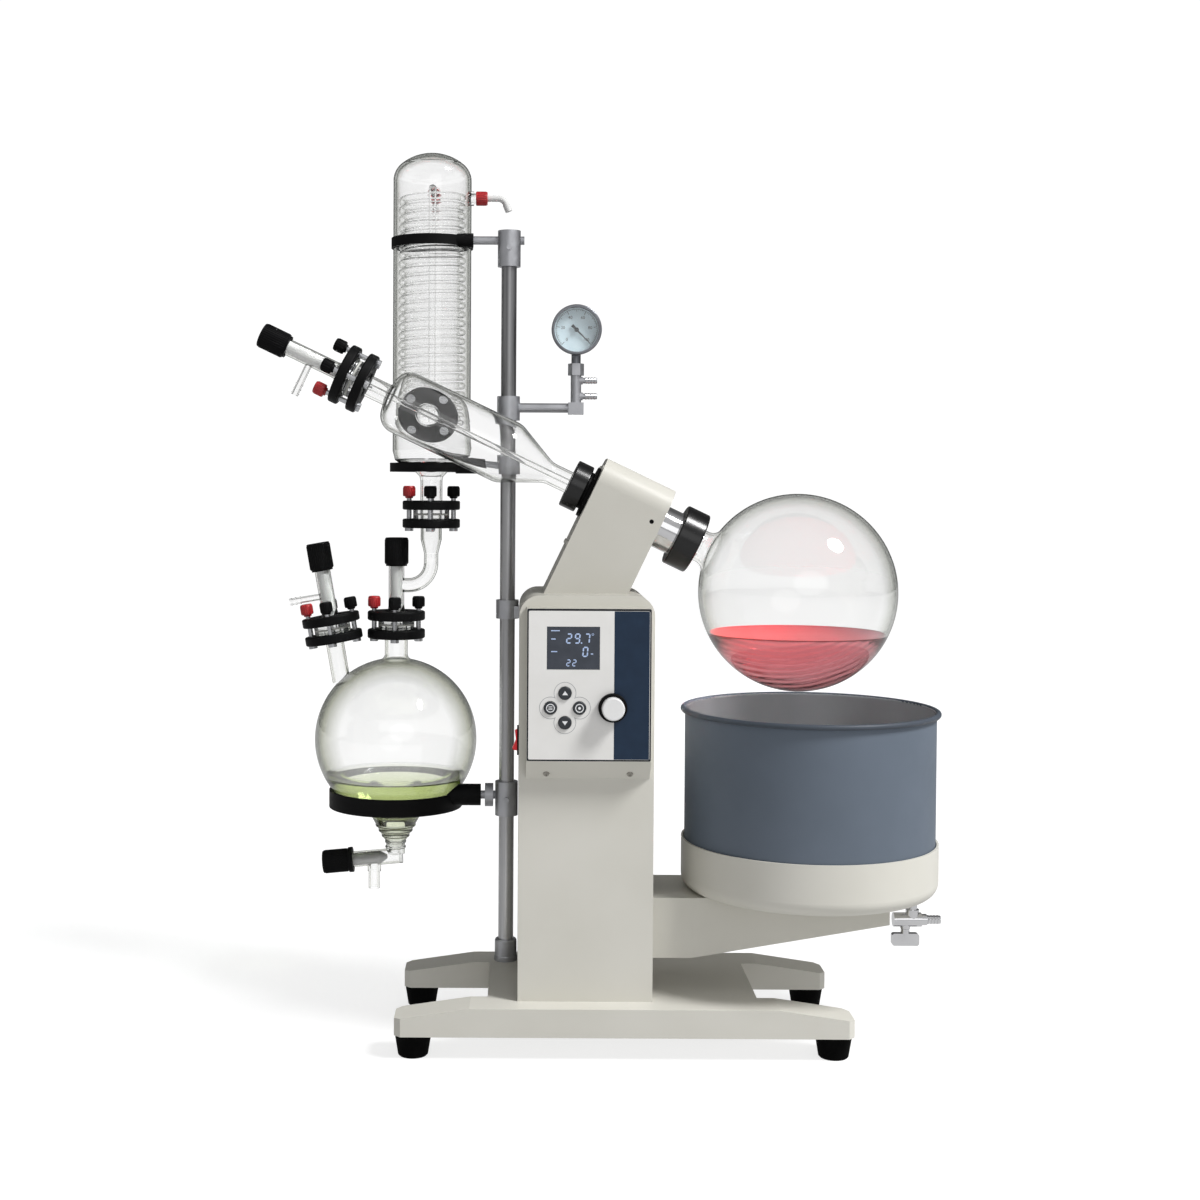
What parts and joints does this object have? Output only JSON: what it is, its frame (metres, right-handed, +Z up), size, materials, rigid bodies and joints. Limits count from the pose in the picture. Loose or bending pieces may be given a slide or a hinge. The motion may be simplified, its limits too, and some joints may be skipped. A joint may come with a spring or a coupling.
{
  "type": "rotary evaporator",
  "caption": "Bench rotary evaporator: tilted spinning flask over a lifting heated bath, upright glass coil condenser and round receiving flask on a post, control column on an H-shaped base.",
  "frame": {"origin": "centre of the overall box at bench level, under the rubber feet", "axes": "+Z up; +X towards the spinning flask and bath; +Y towards the back, away from the control panel"},
  "size_m": [0.7838, 0.3799, 1.024],
  "materials": {
    "base_frame": "satin",
    "rubber_feet": "matte",
    "column_casing": "satin",
    "column_rear_cover": "satin",
    "cover_screws": "polished",
    "power_inlet": "matte",
    "control_cover": "satin",
    "control_panel": "gloss",
    "display_window": "gloss",
    "control_board": "matte",
    "switch_frame": "matte",
    "head_housing": "satin",
    "head_end_cover": "satin",
    "motors": "brushed",
    "seal_carrier": "satin",
    "duct_nut": "satin",
    "shaft_bearings": "ground",
    "vapour_duct": "clear",
    "valve_bodies": "clear",
    "flange_plates": "satin",
    "flange_studs": "bright",
    "flange_knobs": "satin",
    "red_caps": "satin",
    "seals": "matte",
    "condenser_jacket": "clear",
    "condenser_coil": "clear",
    "water_nozzles": "satin",
    "glass_clamps": "satin",
    "pole_clamps": "satin",
    "support_pole": "polished",
    "drop_tube": "clear",
    "receiving_flask": "clear",
    "gauge_case": "satin",
    "gauge_lens": "clear",
    "gauge_manifold": "polished",
    "lift_frame": "ground",
    "evaporating_flask": "clear",
    "flask_nut": "satin",
    "hollow_shaft": "polished",
    "drive_gear": "satin",
    "vapour_tube": "clear",
    "drive_pinion": "ground",
    "bath_pot": "satin",
    "bath_base": "satin",
    "bath_heater": "dull",
    "bath_arm": "painted",
    "drain_valve": "plated",
    "drain_handle": "polished",
    "lift_screw": "rolled",
    "feed_valve_stem": "satin",
    "inlet_valve_stem": "satin",
    "vent_valve_stem": "satin",
    "drain_valve_stem": "satin",
    "speed_knob": "satin",
    "button_up": "satin",
    "button_down": "satin",
    "button_left": "satin",
    "button_right": "satin",
    "rocker_switch": "gloss",
    "gauge_needle": "matte"
  },
  "bodies": {
    "frame": {"base_frame": "base_frame", "rubber_feet": "rubber_feet", "column_casing": "column_casing", "column_rear_cover": "column_rear_cover", "cover_screws": "cover_screws", "power_inlet": "power_inlet", "control_cover": "control_cover", "control_panel": "control_panel", "display_window": "display_window", "control_board": "control_board", "switch_frame": "switch_frame", "head_housing": "head_housing", "head_end_cover": "head_end_cover", "motors": "motors", "seal_carrier": "seal_carrier", "duct_nut": "duct_nut", "shaft_bearings": "shaft_bearings", "vapour_duct": "vapour_duct", "valve_bodies": "valve_bodies", "flange_plates": "flange_plates", "flange_studs": "flange_studs", "flange_knobs": "flange_knobs", "red_caps": "red_caps", "seals": "seals", "condenser_jacket": "condenser_jacket", "condenser_coil": "condenser_coil", "water_nozzles": "water_nozzles", "glass_clamps": "glass_clamps", "pole_clamps": "pole_clamps", "support_pole": "support_pole", "drop_tube": "drop_tube", "receiving_flask": "receiving_flask", "gauge_case": "gauge_case", "gauge_lens": "gauge_lens", "gauge_manifold": "gauge_manifold", "lift_frame": "lift_frame"},
    "rotor": {"evaporating_flask": "evaporating_flask", "flask_nut": "flask_nut", "hollow_shaft": "hollow_shaft", "drive_gear": "drive_gear", "vapour_tube": "vapour_tube"},
    "pinion": {"drive_pinion": "drive_pinion"},
    "bath": {"bath_pot": "bath_pot", "bath_base": "bath_base", "bath_heater": "bath_heater", "bath_arm": "bath_arm", "drain_valve": "drain_valve"},
    "drain_tap": {"drain_handle": "drain_handle"},
    "screw": {"lift_screw": "lift_screw"},
    "feed_stem": {"feed_valve_stem": "feed_valve_stem"},
    "inlet_stem": {"inlet_valve_stem": "inlet_valve_stem"},
    "vent_stem": {"vent_valve_stem": "vent_valve_stem"},
    "drain_stem": {"drain_valve_stem": "drain_valve_stem"},
    "speed_dial": {"speed_knob": "speed_knob"},
    "key_up": {"button_up": "button_up"},
    "key_down": {"button_down": "button_down"},
    "key_left": {"button_left": "button_left"},
    "key_right": {"button_right": "button_right"},
    "rocker": {"rocker_switch": "rocker_switch"},
    "needle": {"gauge_needle": "gauge_needle"}
  },
  "joints": [
    {"name": "flask_spin", "type": "hinge", "parent": "frame", "child": "rotor", "pos_m": [0.02861, -0.0435, 0.59557], "axis": [-0.9033, 0, 0.4289], "continuous": true},
    {"name": "pinion_spin", "type": "hinge", "parent": "frame", "child": "pinion", "pos_m": [-0.00876, -0.0435, 0.56349], "axis": [-0.9033, 0, 0.4289], "continuous": true},
    {"name": "bath_lift", "type": "slide", "parent": "frame", "child": "bath", "axis": [0, 0, 1], "range_m": [0, 0.13]},
    {"name": "lift_screw_turn", "type": "hinge", "parent": "frame", "child": "screw", "pos_m": [0.02194, -0.0435, 0.2], "axis": [0, 0, 1], "range_deg": [0, 5854]},
    {"name": "drain_tap_turn", "type": "hinge", "parent": "bath", "child": "drain_tap", "pos_m": [0.35195, -0.0435, 0.112], "axis": [0, 0, 1], "range_deg": [0, 90]},
    {"name": "feed_valve_turn", "type": "hinge", "parent": "frame", "child": "feed_stem", "pos_m": [-0.35079, -0.0435, 0.77572], "axis": [-0.9033, 0, 0.4289], "range_deg": [0, 360]},
    {"name": "inlet_valve_turn", "type": "hinge", "parent": "frame", "child": "inlet_stem", "pos_m": [-0.24175, 0.0915, 0.52], "axis": [0, 0, 1], "range_deg": [0, 360]},
    {"name": "vent_valve_turn", "type": "hinge", "parent": "frame", "child": "vent_stem", "pos_m": [-0.33365, 0.0915, 0.52578], "axis": [-0.1736, 0, 0.9848], "range_deg": [0, 360]},
    {"name": "drain_valve_turn", "type": "hinge", "parent": "frame", "child": "drain_stem", "pos_m": [-0.3025, 0.0915, 0.16296], "axis": [-0.9957, 0, -0.0924], "range_deg": [0, 360]},
    {"name": "speed_dial_turn", "type": "hinge", "parent": "frame", "child": "speed_dial", "pos_m": [0.00894, -0.1535, 0.3837], "axis": [0, -1, 0], "range_deg": [-150, 150]},
    {"name": "press_up", "type": "slide", "parent": "frame", "child": "key_up", "axis": [0, 1, 0], "range_m": [0, 0.0012], "stiffness_N_per_m": 900},
    {"name": "press_down", "type": "slide", "parent": "frame", "child": "key_down", "axis": [0, 1, 0], "range_m": [0, 0.0012], "stiffness_N_per_m": 900},
    {"name": "press_left", "type": "slide", "parent": "frame", "child": "key_left", "axis": [0, 1, 0], "range_m": [0, 0.0012], "stiffness_N_per_m": 900},
    {"name": "press_right", "type": "slide", "parent": "frame", "child": "key_right", "axis": [0, 1, 0], "range_m": [0, 0.0012], "stiffness_N_per_m": 900},
    {"name": "power_rocker", "type": "hinge", "parent": "frame", "child": "rocker", "pos_m": [-0.09145, -0.1085, 0.342], "axis": [0, 1, 0], "range_deg": [-16, 0]},
    {"name": "gauge_needle_turn", "type": "hinge", "parent": "frame", "child": "needle", "pos_m": [-0.02635, 0.0365, 0.806], "axis": [0, -1, 0], "range_deg": [0, 270], "stiffness_Nm_per_rad": 0.002}
  ],
  "couplings": [
    {"joint": "pinion_spin", "follows": "flask_spin", "ratio": -3.5},
    {"joint": "lift_screw_turn", "follows": "bath_lift", "rad_per_m": 785.4}
  ]
}
